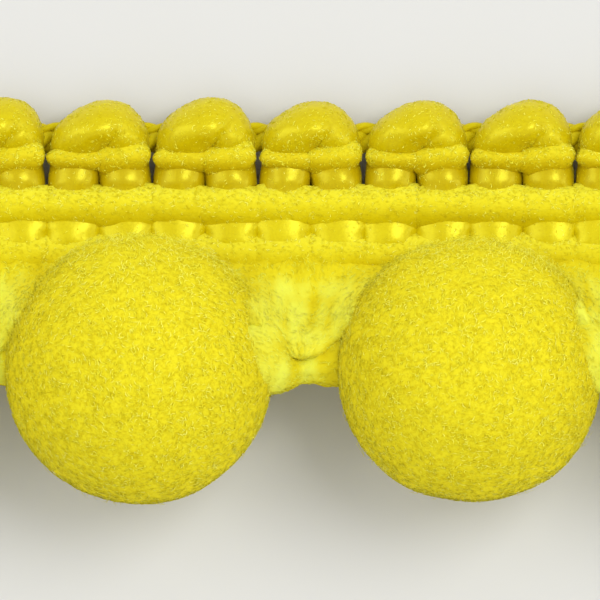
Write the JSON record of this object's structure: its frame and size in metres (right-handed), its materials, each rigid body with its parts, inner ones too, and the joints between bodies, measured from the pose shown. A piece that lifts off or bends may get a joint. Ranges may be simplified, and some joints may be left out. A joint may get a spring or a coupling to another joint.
{
  "type": "pompom fringe trim",
  "caption": "Short length of pompom fringe: a scalloped gimp braid heading with soft round pompoms hanging in a row below it, joined by fans of yarn and links of roving.",
  "frame": {"origin": "on the heading's flat back, at the middle of its length and of its braided height below the scallops", "axes": "+X along the trim, +Y from the pompoms to the scalloped edge, +Z out of the trim's front"},
  "size_m": [0.0526, 0.0153, 0.01],
  "materials": {
    "heading_yarn": "lustrous yellow crochet yarn, with fuzz on the stitch rows",
    "loop_yarn": "soft loose yellow yarn and roving",
    "pile_yarn": "dense sheared yellow pile, felt-like"
  },
  "bodies": {
    "root": {"heading": "heading_yarn", "hanger_1": "loop_yarn", "hanger_2": "loop_yarn", "hanger_3": "loop_yarn", "hanger_4": "loop_yarn", "hanger_5": "loop_yarn", "pompom_1": "pile_yarn", "pompom_2": "pile_yarn", "pompom_3": "pile_yarn", "pompom_4": "pile_yarn"}
  },
  "joints": []
}
